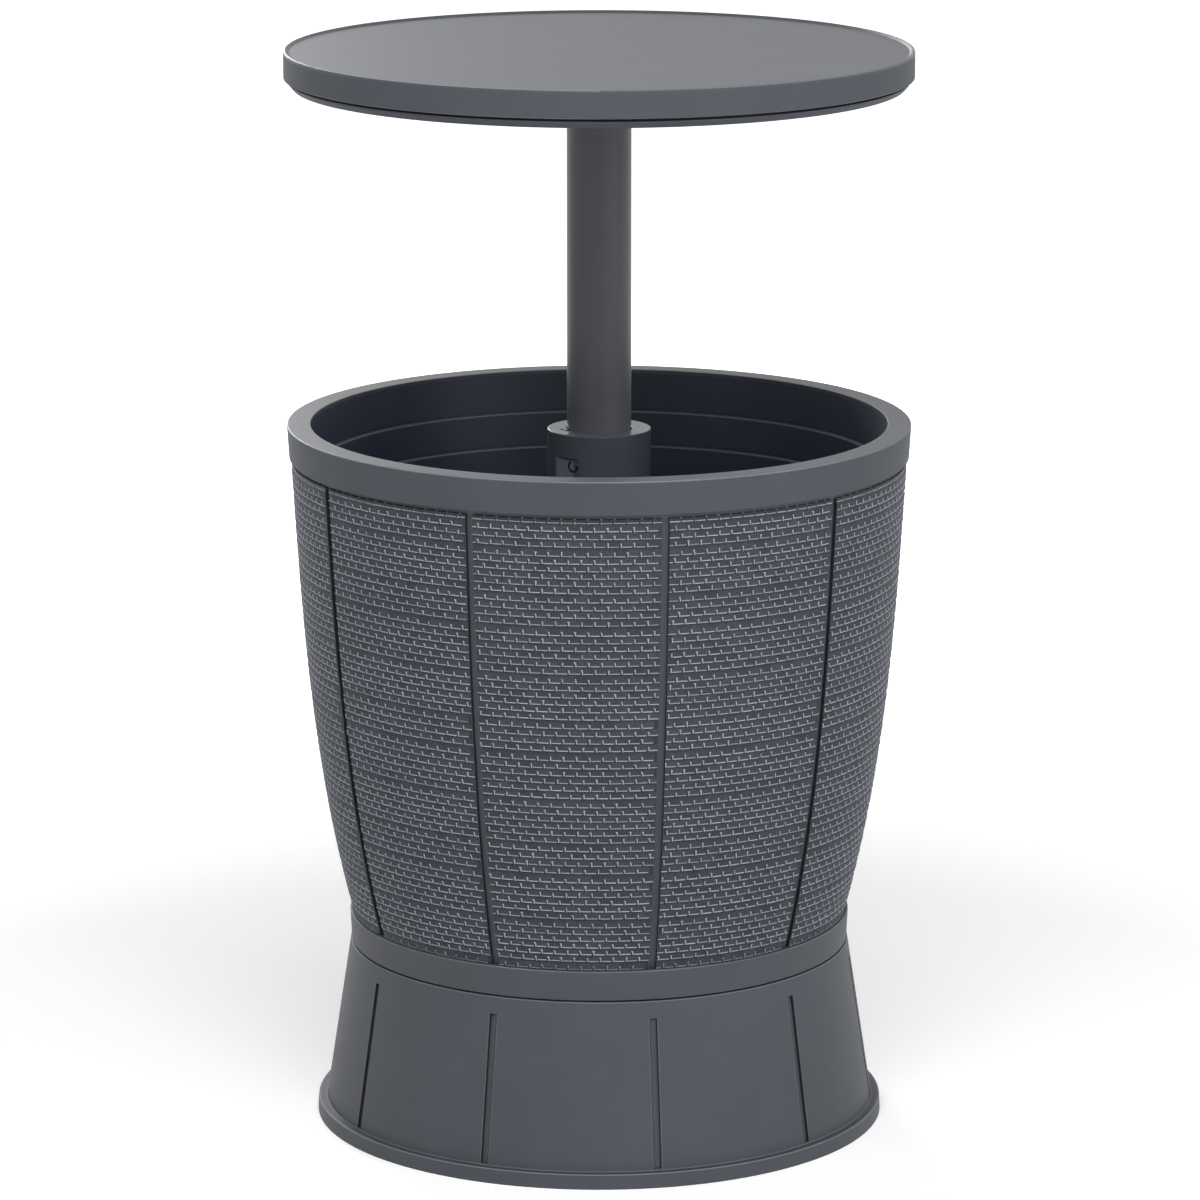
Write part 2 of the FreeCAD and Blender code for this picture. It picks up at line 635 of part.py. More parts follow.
def make_liner_tub():
    inside = []
    outside = []
    radius = MOUTH_R
    for depth in LINER_STEP_DEPTHS:
        z = RIM_TOP - depth
        above = radius - LINER_STEP_LEAN
        radius = above - LINER_STEP_W
        inside += [(above, z), (radius, z, SMALL_EDGE)]
        outside += [(above + LINER_WALL, z - LINER_WALL), (radius + LINER_WALL, z - LINER_WALL)]
    floor_under = LINER_FLOOR_Z - LINER_WALL
    lip_in = GUIDE_R - SLEEVE_LIP_REACH
    bead_foot = SLEEVE_LIP_Z - BEAD_H
    body = turned([(MOUTH_R, LINER_FLANGE_TOP)] + inside + [
        (LINER_FLOOR_R, LINER_FLOOR_Z, LINER_FLOOR_ROUND),
        (SLEEVE_R + SLEEVE_LEAN_R, LINER_FLOOR_Z, SLEEVE_ROOT),
        (SLEEVE_R, bead_foot),
        (SLEEVE_BEAD_R, bead_foot),
        (SLEEVE_BEAD_R, SLEEVE_LIP_Z - SLEEVE_BEAD_EDGE),
        (SLEEVE_R, SLEEVE_LIP_Z + SLEEVE_BEAD_EDGE),
        (SLEEVE_R, SLEEVE_TOP),
        (lip_in, SLEEVE_TOP),
        (lip_in, SLEEVE_LIP_Z),
        (SLEEVE_R_IN, SLEEVE_LIP_Z),
        (SLEEVE_R_IN + SLEEVE_LEAN_R, floor_under),
        (LINER_FLOOR_R + LINER_WALL, floor_under, LINER_FLOOR_ROUND + LINER_WALL),
    ] + outside[::-1] + [
        (MOUTH_R + LINER_WALL, LINER_FLANGE_BOTTOM),
        (LINER_FLANGE_R, LINER_FLANGE_BOTTOM),
        (LINER_FLANGE_R, LINER_FLANGE_TOP),
    ])
    hole = rod(DRAIN_R + DRAIN_PLAY, floor_under - OVERSHOOT, LINER_FLOOR_Z + OVERSHOOT, 0, -DRAIN_CIRCLE_R)
    return body.cut(swung(hole, DRAIN_ANGLE))


def make_rim_ring():
    skirt_in = RIM_SKIRT_R - RIM_SKIRT_WALL
    bead_in = NECK_R + SNAP_GAP
    bead_low = RIM_BOTTOM + BEAD_UP
    return turned([
        (MOUTH_R, LINER_FLANGE_TOP),
        (MOUTH_R, RIM_TOP, RIM_INNER_EDGE),
        (RIM_R, RIM_TOP, RIM_EDGE),
        (RIM_SKIRT_R, RIM_BOTTOM, EDGE),
        (skirt_in, RIM_BOTTOM),
        (skirt_in, bead_low),
        (bead_in, bead_low + BEAD_H / 4),
        (bead_in, bead_low + BEAD_H),
        (skirt_in, bead_low + BEAD_H),
        (skirt_in, LINER_FLANGE_TOP),
    ])


def field_curve(inset):
    """Bottom point, two inner poles and top point of the fields' face, set in by inset."""
    poles = (LOW_POLE_R - inset, FIELD_BOTTOM_Z + FIELD_THIRD, TOP_POLE_R - inset, FIELD_TOP_Z - FIELD_THIRD)
    return (FIELD_BOTTOM_R - inset, FIELD_BOTTOM_Z), poles, (FIELD_TOP_R - inset, FIELD_TOP_Z)


def reversed_poles(poles):
    return poles[2], poles[3], poles[0], poles[1]


def field_zone(outer_inset, inner_inset):
    """Ring between two insets of the fields' face."""
    low, poles, top = field_curve(outer_inset)
    inner_low, inner_poles, inner_top = field_curve(inner_inset)
    return turned([low, poles, top, inner_top, reversed_poles(inner_poles), inner_low])


def make_barrel_shell():
    low, poles, top = field_curve(0)
    inner_low, inner_poles, inner_top = field_curve(SHELL_WALL)
    neck_top = LINER_FLANGE_BOTTOM
    bead_z = RIM_BOTTOM + BEAD_UP + BEAD_H + SNAP_GAP
    bead_r = RIM_SKIRT_R - RIM_SKIRT_WALL - SNAP_GAP
    neck_in = NECK_R - SHELL_WALL
    flange_in = NECK_R - SHELL_FLANGE_W
    foot_r = BAND_BOTTOM_R - SHELL_FOOT_INSET
    body = turned([
        (foot_r, BASE_H),
        (foot_r, BAND_BOTTOM_Z),
        (BAND_BOTTOM_R, BAND_BOTTOM_Z, BAND_EDGE),
        (BAND_TOP_R, FIELD_BOTTOM_Z, BAND_LEDGE),
        low,
        poles,
        top,
        (NECK_R, FIELD_TOP_Z),
        (NECK_R, bead_z),
        (bead_r, bead_z),
        (bead_r, bead_z + BEAD_H / 2),
        (NECK_R, bead_z + BEAD_H),
        (NECK_R, neck_top),
        (flange_in, neck_top),
        (flange_in, neck_top - SHELL_FLANGE_T),
        (neck_in, neck_top - SHELL_FLANGE_T),
        (neck_in, FIELD_TOP_Z),
        inner_top,
        reversed_poles(inner_poles),
        inner_low,
        (foot_r - SHELL_WALL, SHELL_FLOOR_TOP, ROOT),
        (0, SHELL_FLOOR_TOP),
        (0, BASE_H),
    ])
    backing = field_zone(SHELL_WALL / 2, SHELL_WALL + SEAM_DEPTH)
    backing = backing.common(slab(SEAM_BACKING_W, 0, RIM_R, FIELD_BOTTOM_Z, FIELD_TOP_Z))
    seam = field_zone(-SEAM_DEPTH, SEAM_DEPTH)
    seam = seam.common(slab(SEAM_W, 0, RIM_R + SEAM_DEPTH, FIELD_BOTTOM_Z, FIELD_TOP_Z))
    middle = BASE_H + SHELL_FLOOR / 2
    boss_r = SCREW_R + BOSS_WALL
    boss = rod(boss_r, middle, SHELL_FLOOR_TOP + SCREW_BITE + BOSS_FLOOR, 0, -BASE_SCREW_CIRCLE_R)
    pilot = rod(SCREW_R, BASE_H - OVERSHOOT, SHELL_FLOOR_TOP + SCREW_BITE, 0, -BASE_SCREW_CIRCLE_R)
    socket = rod(boss_r, SHELL_FLOOR_TOP - SCREW_BITE - BOSS_FLOOR, middle, 0, -GUIDE_SCREW_CIRCLE_R)
    thread = rod(SCREW_R, SHELL_FLOOR_TOP - SCREW_BITE, SHELL_FLOOR_TOP + OVERSHOOT, 0, -GUIDE_SCREW_CIRCLE_R)
    drain = rod(DRAIN_R + DRAIN_PLAY, BASE_H - OVERSHOOT, SHELL_FLOOR_TOP + OVERSHOOT, 0, -DRAIN_CIRCLE_R)
    body = fused(body, around(backing, FACET_COUNT, SEAM_ANGLE) + around(boss, BASE_SCREW_COUNT)
                 + around(socket, GUIDE_SCREW_COUNT, 45))
    return cut_by(body, around(seam, FACET_COUNT, SEAM_ANGLE) + around(pilot, BASE_SCREW_COUNT)
                  + around(thread, GUIDE_SCREW_COUNT, 45) + [swung(drain, DRAIN_ANGLE)])


def base_radius(z):
    """Radius of the base's conical face at a height."""
    return BASE_TOP_R + BASE_FLARE * (BASE_H - z) / (BASE_H - FOOT_H)


def base_zone(outer_inset, inner_inset, low, high):
    """Conical ring between two insets of the base's face."""
    return turned([
        (base_radius(low) - inner_inset, low),
        (base_radius(low) - outer_inset, low),
        (base_radius(high) - outer_inset, high),
        (base_radius(high) - inner_inset, high),
    ])


def make_gusset():
    """Triangular rib under the deck, at the front, rooted in the conical wall."""
    root = BASE_WALL / 2
    high = BASE_H - DECK_T / 2
    low = DECK_UNDER - GUSSET_H
    near = BASE_TOP_R - GUSSET_REACH
    low_root = (base_radius(low) - root, low)
    high_root = (base_radius(high) - root, high)
    outline = [(near, high), (near, DECK_UNDER), low_root, high_root]
    spots = [V(-GUSSET_T / 2, -radius, z) for radius, z in outline]
    return Part.Face(Part.makePolygon(spots + spots[:1])).extrude(V(GUSSET_T, 0, 0))


def make_base_skirt():
    deck_hole_r = BASE_TOP_R - DECK_W
    flange_under = FOOT_H - BASE_WALL
    body = turned([
        (FOOT_R, 0),
        (FOOT_TOP_R, FOOT_H, FOOT_EDGE),
        (BASE_FOOT_R, FOOT_H),
        (BASE_TOP_R, BASE_H, BASE_EDGE),
        (deck_hole_r, BASE_H),
        (deck_hole_r, DECK_UNDER),
        (BASE_TOP_R - BASE_WALL, DECK_UNDER, ROOT),
        (BASE_FOOT_R - BASE_WALL, flange_under),
        (FOOT_TOP_R - BASE_WALL, flange_under),
        (FOOT_R - BASE_WALL, 0),
    ])
    low = FOOT_H + SLOT_FOOT
    high = BASE_H - SLOT_HEAD
    backing = base_zone(BASE_WALL / 2, BASE_WALL + SLOT_DEPTH, FOOT_H, DECK_UNDER)
    backing = backing.common(slab(SLOT_BACKING_W, 0, FOOT_R, FOOT_H, DECK_UNDER))
    slot = base_zone(-SLOT_DEPTH, SLOT_DEPTH, low, high)
    slot = slot.common(slab(SLOT_W, 0, FOOT_R + SLOT_DEPTH, low, high))
    hole = rod(SCREW_R + SCREW_PLAY, DECK_UNDER - OVERSHOOT, BASE_H + OVERSHOOT, 0, -BASE_SCREW_CIRCLE_R)
    drain = rod(DRAIN_R + DRAIN_PLAY, DECK_UNDER - OVERSHOOT, BASE_H + OVERSHOOT, 0, -DRAIN_CIRCLE_R)
    body = fused(body, around(backing, FACET_COUNT, SEAM_ANGLE)
                 + around(make_gusset(), FACET_COUNT, SEAM_ANGLE + 180.0 / FACET_COUNT))
    return cut_by(body, around(slot, FACET_COUNT, SEAM_ANGLE) + around(hole, BASE_SCREW_COUNT)
                  + [swung(drain, DRAIN_ANGLE)])


def make_base_screws():
    reach = DECK_T + SHELL_FLOOR + SCREW_BITE - SCREW_TIP_EDGE
    return Part.makeCompound(around(screw(DECK_UNDER, 1, reach, 0, -BASE_SCREW_CIRCLE_R), BASE_SCREW_COUNT))


def at_drain(shape):
    shape.translate(V(0, -DRAIN_CIRCLE_R, 0))
    return swung(shape, DRAIN_ANGLE)


def make_drain_fitting():
    outlet = BASE_H - DRAIN_OUTLET_DROP
    body = turned([
        (DRAIN_BORE_R, outlet),
        (DRAIN_R, outlet, SMALL_EDGE),
        (DRAIN_R, LINER_FLOOR_Z),
        (DRAIN_FLANGE_R, LINER_FLOOR_Z),
        (DRAIN_FLANGE_R, LINER_FLOOR_Z + DRAIN_FLANGE_T, EDGE),
        (DRAIN_BORE_R, LINER_FLOOR_Z + DRAIN_FLANGE_T, FINE_EDGE),
    ])
    return at_drain(body)


def make_drain_washer():
    top = LINER_FLOOR_Z - LINER_WALL
    return at_drain(tube(DRAIN_R, DRAIN_FLANGE_R - WASHER_INSET, top - WASHER_T, top))


def make_drain_nut():
    top = LINER_FLOOR_Z - LINER_WALL - WASHER_T
    low = top - NUT_T
    corner_r = NUT_FLATS / math.sqrt(3)
    angles = [math.radians(60 * k) for k in range(7)]
    spots = [V(corner_r * math.cos(a), corner_r * math.sin(a), low) for a in angles]
    nut = Part.Face(Part.makePolygon(spots)).extrude(V(0, 0, NUT_T))
    chamfer = turned([
        (0, low),
        (corner_r - NUT_CHAMFER, low),
        (corner_r, low + NUT_CHAMFER),
        (corner_r, top),
        (0, top),
    ])
    return at_drain(nut.common(chamfer).cut(rod(DRAIN_R, low - OVERSHOOT, top + OVERSHOOT)))


def make_drain_plug():
    seat = LINER_FLOOR_Z + DRAIN_FLANGE_T
    head_top = seat + PLUG_HEAD_T
    stem_r = DRAIN_BORE_R - PLUG_GAP
    head_r = stem_r + PLUG_HEAD_W
    body = turned([
        (0, seat - PLUG_STEM),
        (stem_r - PLUG_TAPER, seat - PLUG_STEM, SMALL_EDGE),
        (stem_r, seat),
        (head_r, seat),
        (head_r, head_top, EDGE),
        (0, head_top),
    ])
    pull = Part.makeTorus(PULL_R, PULL_WIRE_R, V(0, 0, head_top + PULL_R - PULL_WIRE_R), V(0, 1, 0))
    return at_drain(fused(body, [pull]))


PIECES = {
    "base_skirt": make_base_skirt,
    "base_screws": make_base_screws,
    "barrel_shell": make_barrel_shell,
    "rim_ring": make_rim_ring,
    "liner_tub": make_liner_tub,
    "guide_tube": make_guide_tube,
    "guide_screws": make_guide_screws,
    "collet": make_collet,
    "drain_fitting": make_drain_fitting,
    "drain_washer": make_drain_washer,
    "drain_nut": make_drain_nut,
    "drain_plug": make_drain_plug,
    "collar": make_collar,
    "post_tube": make_post_tube,
    "guide_shoe": make_guide_shoe,
    "shoe_pin": make_shoe_pin,
    "post_head": make_post_head,
    "head_pin": make_head_pin,
    "hub_screws": make_hub_screws,
    "table_underside": make_table_underside,
    "lid_screws": make_lid_screws,
    "lid_seal": make_lid_seal,
    "table_top": make_table_top,
}

os.makedirs("parts", exist_ok=True)
for name, make in PIECES.items():
    shape = make()
    shape.exportStep("parts/" + name + ".step")
    print(name, len(shape.Solids), "solids", shape.isValid(), round(shape.Volume / 1000, 1), "cm3")
print("open height", round(OPEN_H, 1), "mm, closed", round(OPEN_H - LIFT, 1), "mm")
print("liner floor radius", round(LINER_FLOOR_R, 3), "mm, drain at", round(DRAIN_CIRCLE_R, 3), "mm")
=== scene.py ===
import math
import random

import bmesh
import bpy
from mathutils import Matrix, Vector


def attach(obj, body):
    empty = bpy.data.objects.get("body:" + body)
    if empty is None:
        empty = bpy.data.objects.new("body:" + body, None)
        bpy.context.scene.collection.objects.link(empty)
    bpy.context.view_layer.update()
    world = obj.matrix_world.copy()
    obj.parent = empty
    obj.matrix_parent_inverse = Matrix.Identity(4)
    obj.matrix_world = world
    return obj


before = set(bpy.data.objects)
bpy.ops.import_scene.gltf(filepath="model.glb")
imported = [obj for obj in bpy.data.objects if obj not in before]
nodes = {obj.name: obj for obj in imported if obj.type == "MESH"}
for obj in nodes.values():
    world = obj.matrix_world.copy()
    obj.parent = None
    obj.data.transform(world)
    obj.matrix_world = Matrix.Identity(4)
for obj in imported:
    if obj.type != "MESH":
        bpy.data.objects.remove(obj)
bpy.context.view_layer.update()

# Cooler table with lid, in metres. The front faces -Y and +Z is up. Angles round the axis are
# measured from the front towards +X.

# Woven fields of the barrel
FIELD_COUNT = 10
FIELD_STEP = 2 * math.pi / FIELD_COUNT
FIRST_SEAM = math.radians(12.0)
SEAM_WIDTH = 0.006
LOWEST_ROW = 0.16925
ROW_COUNT = 59
FIELD_TOP = 0.5352
ROW_GROUPS = (                  # rows, step up to the first of them, step between them
    (6, 0.0072, 0.0058),
    (6, 0.0075, 0.00607),
    (4, 0.0079, 0.0061),
)
STRAND_PITCH = 0.01006
COLUMN_SHIFT = -0.0034
# The lowest row's lips lie in shade, so its painted highlights are this much weaker
LOWEST_ROW_LIGHT = 0.6          # paleness of the lowest row, against the others
PANEL_SEED = 300

# One strand: a pad that leans out towards its foot, a raised lip along the foot and a raised tick
# at its left end. Names that end in _H are heights over the barrel's face.
STRAND_ROOT = -0.00025
CREST_H = 0.00085
LIP_TOP_H = 0.0007
PAD_FOOT_H = 0.00042
PAD_MIDDLE_H = 0.00026
PAD_HEAD_H = -0.00012
FLANK = 0.00012
LIP_TOP = 0.00064
PAD_FOOT = 0.00092
SERIF_FOOT = 0.0024
TICK_WIDTH = 0.00072
PAD_SIDE = 0.00026
LIP_SIDE = 0.0004
SHORTEST_STRAND = 0.0030

# What differs from row to row and from strand to strand: ranges, and lists to pick from
# Row, lip and tick tones set how strong the painted highlights are; pad shades set each pad's
# random tone
ROW_TONES = (0.75, 1.05)
LIP_GAPS = (0.0008, 0.0014)
TICK_LEANS = (0, 0.0008)
TICK_TOPS = (0.0030, 0.0038)
FOOT_DROPS = (0, 0, 0.0002, 0.0004)
LEFT_FLARES = (0, 0.0002, 0.0005, 0.0008)
RIGHT_FLARES = (0, 0, 0.0003, 0.0005)
LIP_SLOPES = (-0.00012, 0.00012)
CREST_GAINS = (0.9, 1.1)
LIP_TONES = (0.8, 1.1)
TICK_TONES = (0.85, 1.25)
PAD_SHADES = (0.2, 0.8)

# A strand's patch: its columns from the left, and its rows from the foot up
PATCH_FACES = 7
(LEFT_EDGE, TICK_LEFT, TICK_RIGHT, PAD_LEFT,
 LIP_LEFT, LIP_RIGHT, PAD_RIGHT, RIGHT_EDGE) = range(PATCH_FACES + 1)
(FOOT_EDGE, LIP_ROW, LIP_HEAD, PAD_ROW,
 SERIF_ROW, TICK_HEAD, OVER_TICK, HEAD_EDGE) = range(PATCH_FACES + 1)

# Marks on the collar
FACET_ANGLE = math.radians(-40)
FACET_R = 0.03941
COLLAR_TOP = 0.5595
MARK_DEPTH = 0.0002
ARROW_RING = (0.0032, 0.005)
ARROW_SWEEP = math.radians(250)
ARROW_HEAD_R = 0.0026
ARROW_HEAD_TURN = math.radians(-60)
ARROW_HEAD_PLACE = (0.0041, 0, -0.0006)
ARROW_ALONG = 0.006
ARROW_HEIGHT = 0.5345
TOP_DASHES = (                  # x, y, length, width, lean in degrees
    (-0.0294, -0.0085, 0.0028, 0.0022, 0),
    (-0.0256, -0.0132, 0.0038, 0.002, 40),
)

# Colours
BODY_COLOUR = (0.062, 0.068, 0.081)
UNDERSIDE_COLOUR = (0.068, 0.0745, 0.089)
# Painted highlights along edges and along the slots' borders
EDGE_HIGHLIGHT_COLOUR = (0.36, 0.38, 0.42)
# Painted shade on the walls and ends of seams and slots
WALL_SHADE_COLOUR = (0.012, 0.0135, 0.017)
SHADE_COLOUR = (0.006, 0.0065, 0.008)
# Painted light on the barrel's neck, which the rim's skirt shades
NECK_LIGHT_COLOUR = (0.12, 0.13, 0.15)
# Dark fibres in the strands' mottle, and painted shade behind, under and between the strands
FIBRE_AND_SHADE_COLOUR = (0.014, 0.016, 0.022)
PAD_COLOUR = (0.05, 0.057, 0.074)
# Painted highlights on the strands' lips and ticks
CREST_HIGHLIGHT_COLOUR = (0.39, 0.41, 0.455)
LINER_COLOUR = (0.018, 0.0255, 0.043)
# Painted highlight on the liner's steps
LINER_STEP_HIGHLIGHT_COLOUR = (0.14, 0.155, 0.185)
COLLAR_COLOUR = (0.055, 0.065, 0.079)
# Painted light on the collar's top
COLLAR_TOP_LIGHT_COLOUR = (0.078, 0.087, 0.1)
# Painted reflection on the collar's thumb facet
FACET_REFLECTION_COLOUR = (0.115, 0.13, 0.165)
INK_COLOUR = (0.012, 0.016, 0.03)
POST_COLOUR = (0.076, 0.079, 0.088)
WORKS_COLOUR = (0.022, 0.026, 0.034)
RUBBER_COLOUR = (0.018, 0.018, 0.02)
ZINC_COLOUR = (0.55, 0.56, 0.57)

# Finish of all mouldings
PLASTIC_IOR = 1.4
GRAIN_HEIGHT = 0.0002
ROUGHNESS_SPREAD = 0.08
POLISH = 0.2                    # the flat tops are this much less rough than the sides

# Painted highlights along edges: radius, height, reach and strength of each highlight
LID_EDGES = ((0.2466, 0.862, 0.0009, 0.8), (0.2472, 0.8406, 0.0006, 0.3))
RIM_EDGES = ((0.2474, 0.5647, 0.0011, 0.55), (0.2292, 0.5648, 0.0009, 0.4),
             (0.2466, 0.5381, 0.0008, 0.2))
BARREL_EDGES = ((0.2003, 0.1676, 0.0008, 0.3), (0.1998, 0.1446, 0.0006, 0.2))
BASE_EDGES = ((0.2004, 0.143, 0.0006, 0.4), (0.2274, 0.0118, 0.0008, 0.5),
              (0.2208, 0.0122, 0.0007, 0.45))

# Bands of height that a finish picks out: from, to and softness
LID_FACE = (0.8595, 0.9, 0.0004)
# Painted shade on the feet of the lid's bosses
LID_BOSSES = (0.8376, 0.8401, 0.0001)
# Painted shade inside the lid's groove
GROOVE_WALL = (0.8381, 0.85, 0.0001)
RIM_FACE = (0.5643, 0.6, 0.0004)
# Painted light on the collar's top
COLLAR_FACE = (0.5593, 0.57, 0.0002)
# Painted reflection on the collar's thumb facet
FACET = (0.5105, 0.5409, 0.0003)
# Painted light on the barrel's neck
NECK = (0.5343, 0.5384, 0.0003)
# Painted shade on the ground behind the strands
FIELDS = (0.1683, 0.5346, 0.0003)
# Painted shade and a painted highlight along the slots
SLOTS = (0.0131, 0.1297, 0.0003)
# Painted shade on the foot ledge
FOOT_LEDGE = (0.0115, 0.0125, 0.0003)

# Other places that a finish follows
GROOVE_R = 0.2424
LINER_STEPS = (0.531, 0.503)
# Painted shade on the strands' ground starts this far from a seam's middle
FIELD_SIDE = 0.0034             # the strands' ground starts this far from a seam's middle
LINE_REACH = 0.0004
# Along each slot: a painted highlight on its border and painted shade on its walls
SLOT_LINES = (                  # distance from a slot's middle, colour, strength
    (0.0036, EDGE_HIGHLIGHT_COLOUR, 0.22),
    (0.003, WALL_SHADE_COLOUR, 0.9),
    (0.00272, WALL_SHADE_COLOUR, 0.9),
)
# Painted shade across the slots' ends, out to their half width
SLOT_ENDS = (0.0134, 0.129)
SLOT_END_REACH = 0.0007
SLOT_HALF_WIDTH = 0.0028
# Painted shade on the foot ledge: its radius and reach
LEDGE_R = 0.2238
LEDGE_REACH = 0.003
# Painted reflection on the collar's thumb facet: inner and outer radius, and the angle where it
# ends
FACET_INNER_R = 0.036
FACET_OUTER_R = 0.0408
FACET_END = -0.53               # angle where the facet ends, in radians

# Studio
FLOOR_R = 30
FLOOR_GLOW = 0.3
GLOW_START = 0.7
GLOW_REACH = 1.5
SURROUND_LIGHT = 0.15
SOFT_BOXES = (                  # name, place, target, width, height, power
    ("top_front_box", (0, -2.4, 3.2), (0, 0, 0.5), 2.4, 1.6, 88),
    ("right_front_box", (2.6, -2.2, 1.8), (0, 0, 0.5), 1.6, 2.0, 37),
    ("left_front_box", (-2.6, -2.2, 1.8), (0, 0, 0.5), 1.6, 2.0, 10),
    ("back_left_box", (-1.25, 3.4, 1.6), (-0.2, 0, 0.7), 1.2, 0.9, 50),
)
CAMERA_PLACE = (0, -4.7303, 1.4677)
CAMERA_DIP = 12.4985            # degrees below the level
CAMERA_LENS = 181.88
CAMERA_SHIFT = 0.00075


def ray_radius(node, angle, z):
    """Radius of a node's outermost face at an angle and a height."""
    outward = Vector((math.sin(angle), -math.cos(angle), 0))
    start = outward + Vector((0, 0, z))
    found, spot, _, _ = nodes[node].ray_cast(start, -outward)
    return spot.xy.length if found else 0


def mesh_object(name, bm, material, body):
    """A finished piece that moves with a body."""
    mesh = bpy.data.meshes.new(name)
    bm.to_mesh(mesh)
    bm.free()
    mesh.materials.append(material)
    piece = bpy.data.objects.new(name, mesh)
    bpy.context.scene.collection.objects.link(piece)
    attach(piece, body)
    return piece


# Shader helpers
def add(tree, kind, **settings):
    """New shader node, laid out in rows in the order of making."""
    count = len(tree.nodes)
    node = tree.nodes.new(kind)
    node.location = (220 * (count % 8), -260 * (count // 8))
    for key, value in settings.items():
        setattr(node, key, value)
    return node


def new_group(name, inputs, outputs):
    """Empty shader group with float inputs (name, default) and float outputs."""
    tree = bpy.data.node_groups.new(name, "ShaderNodeTree")
    for socket, default in inputs:
        made = tree.interface.new_socket(socket, in_out="INPUT", socket_type="NodeSocketFloat")
        made.default_value = default
    for socket in outputs:
        tree.interface.new_socket(socket, in_out="OUTPUT", socket_type="NodeSocketFloat")
    return tree, add(tree, "NodeGroupInput").outputs, add(tree, "NodeGroupOutput").inputs


def maths(tree, operation, *values, clamp=False):
    """Output of a Math node on sockets or numbers."""
    node = add(tree, "ShaderNodeMath", operation=operation, use_clamp=clamp)
    for socket, value in zip(node.inputs, values):
        if isinstance(value, (int, float)):
            socket.default_value = value
        else:
            tree.links.new(value, socket)
    return node.outputs[0]


def shaded_point(tree):
    """The shaded point's x, y and height, and its distance from the table's axis."""
    spot = add(tree, "ShaderNodeTexCoord").outputs["Object"]
    split = add(tree, "ShaderNodeSeparateXYZ")
    tree.links.new(spot, split.inputs[0])
    x, y, z = split.outputs
    squares = maths(tree, "ADD", maths(tree, "POWER", x, 2), maths(tree, "POWER", y, 2))
    return x, y, z, maths(tree, "SQRT", squares)


def turn_from_front(tree, x, y):
    """Angle round the axis, from the front towards +X."""
    return maths(tree, "ARCTAN2", x, maths(tree, "MULTIPLY", y, -1))


def seen_mask(tree):
    """1 for what the camera sees straight, in a reflection or through glass."""
    path = add(tree, "ShaderNodeLightPath").outputs
    seen = maths(tree, "MAXIMUM", path["Is Camera Ray"], path["Is Glossy Ray"])
    return maths(tree, "MAXIMUM", seen, path["Is Transmission Ray"])


def make_grain_group():
    """Fine spark-eroded grain of a moulding, and the faint cloudiness of its colour."""
    inputs = (("Grain per metre", 1500.0), ("Clouds per metre", 18.0))
    tree, given, result = new_group("mould_grain", inputs, ("Height", "Cloud"))
    spot = add(tree, "ShaderNodeTexCoord").outputs["Object"]
    for scale, detail, out in (("Grain per metre", 3, "Height"), ("Clouds per metre", 5, "Cloud")):
        noise = add(tree, "ShaderNodeTexNoise")
        noise.inputs["Detail"].default_value = detail
        noise.inputs["Roughness"].default_value = 0.6
        tree.links.new(spot, noise.inputs["Vector"])
        tree.links.new(given[scale], noise.inputs["Scale"])
        tree.links.new(noise.outputs["Fac"], result[out])
    return tree


def make_band_group():
    """Mask that is 1 between two heights and fades out over a soft edge."""
    inputs = (("Low", 0.0), ("High", 1.0), ("Soft", 0.001))
    tree, given, result = new_group("height_band", inputs, ("Mask",))
    height = shaded_point(tree)[2]
    above = maths(tree, "SUBTRACT", height, given["Low"])
    above = maths(tree, "DIVIDE", above, given["Soft"], clamp=True)
    below = maths(tree, "SUBTRACT", given["High"], height)
    below = maths(tree, "DIVIDE", below, given["Soft"], clamp=True)
    tree.links.new(maths(tree, "MULTIPLY", above, below), result["Mask"])
    return tree


def make_edge_ring_group():
    """Mask of a stretch round a turned edge where a highlight is painted: 1 on the ring, fading
    out over its reach.
    """
    inputs = (("Radius", 0.2), ("Height", 0.5), ("Reach", 0.001))
    tree, given, result = new_group("edge_ring", inputs, ("Mask",))
    _, _, z, radius = shaded_point(tree)
    out = maths(tree, "POWER", maths(tree, "SUBTRACT", radius, given["Radius"]), 2)
    up = maths(tree, "POWER", maths(tree, "SUBTRACT", z, given["Height"]), 2)
    away = maths(tree, "SQRT", maths(tree, "ADD", out, up))
    away = maths(tree, "DIVIDE", away, given["Reach"])
    tree.links.new(maths(tree, "SUBTRACT", 1, away, clamp=True), result["Mask"])
    return tree


def make_seam_group():
    """Distance round the barrel from the middle of the nearest seam or slot."""
    inputs = (("First seam", 0.0), ("Step", 1.0))
    tree, given, result = new_group("seam_distance", inputs, ("Distance",))
    x, y, _, radius = shaded_point(tree)
    angle = maths(tree, "SUBTRACT", turn_from_front(tree, x, y), given["First seam"])
    half = maths(tree, "MULTIPLY", given["Step"], 0.5)
    local = maths(tree, "WRAP", angle, half, maths(tree, "MULTIPLY", half, -1))
    side = maths(tree, "MULTIPLY", maths(tree, "SINE", local), radius)
    tree.links.new(maths(tree, "ABSOLUTE", side), result["Distance"])
    return tree


GRAIN = make_grain_group()
HEIGHT_BAND = make_band_group()
EDGE_RING = make_edge_ring_group()
SEAM_DISTANCE = make_seam_group()


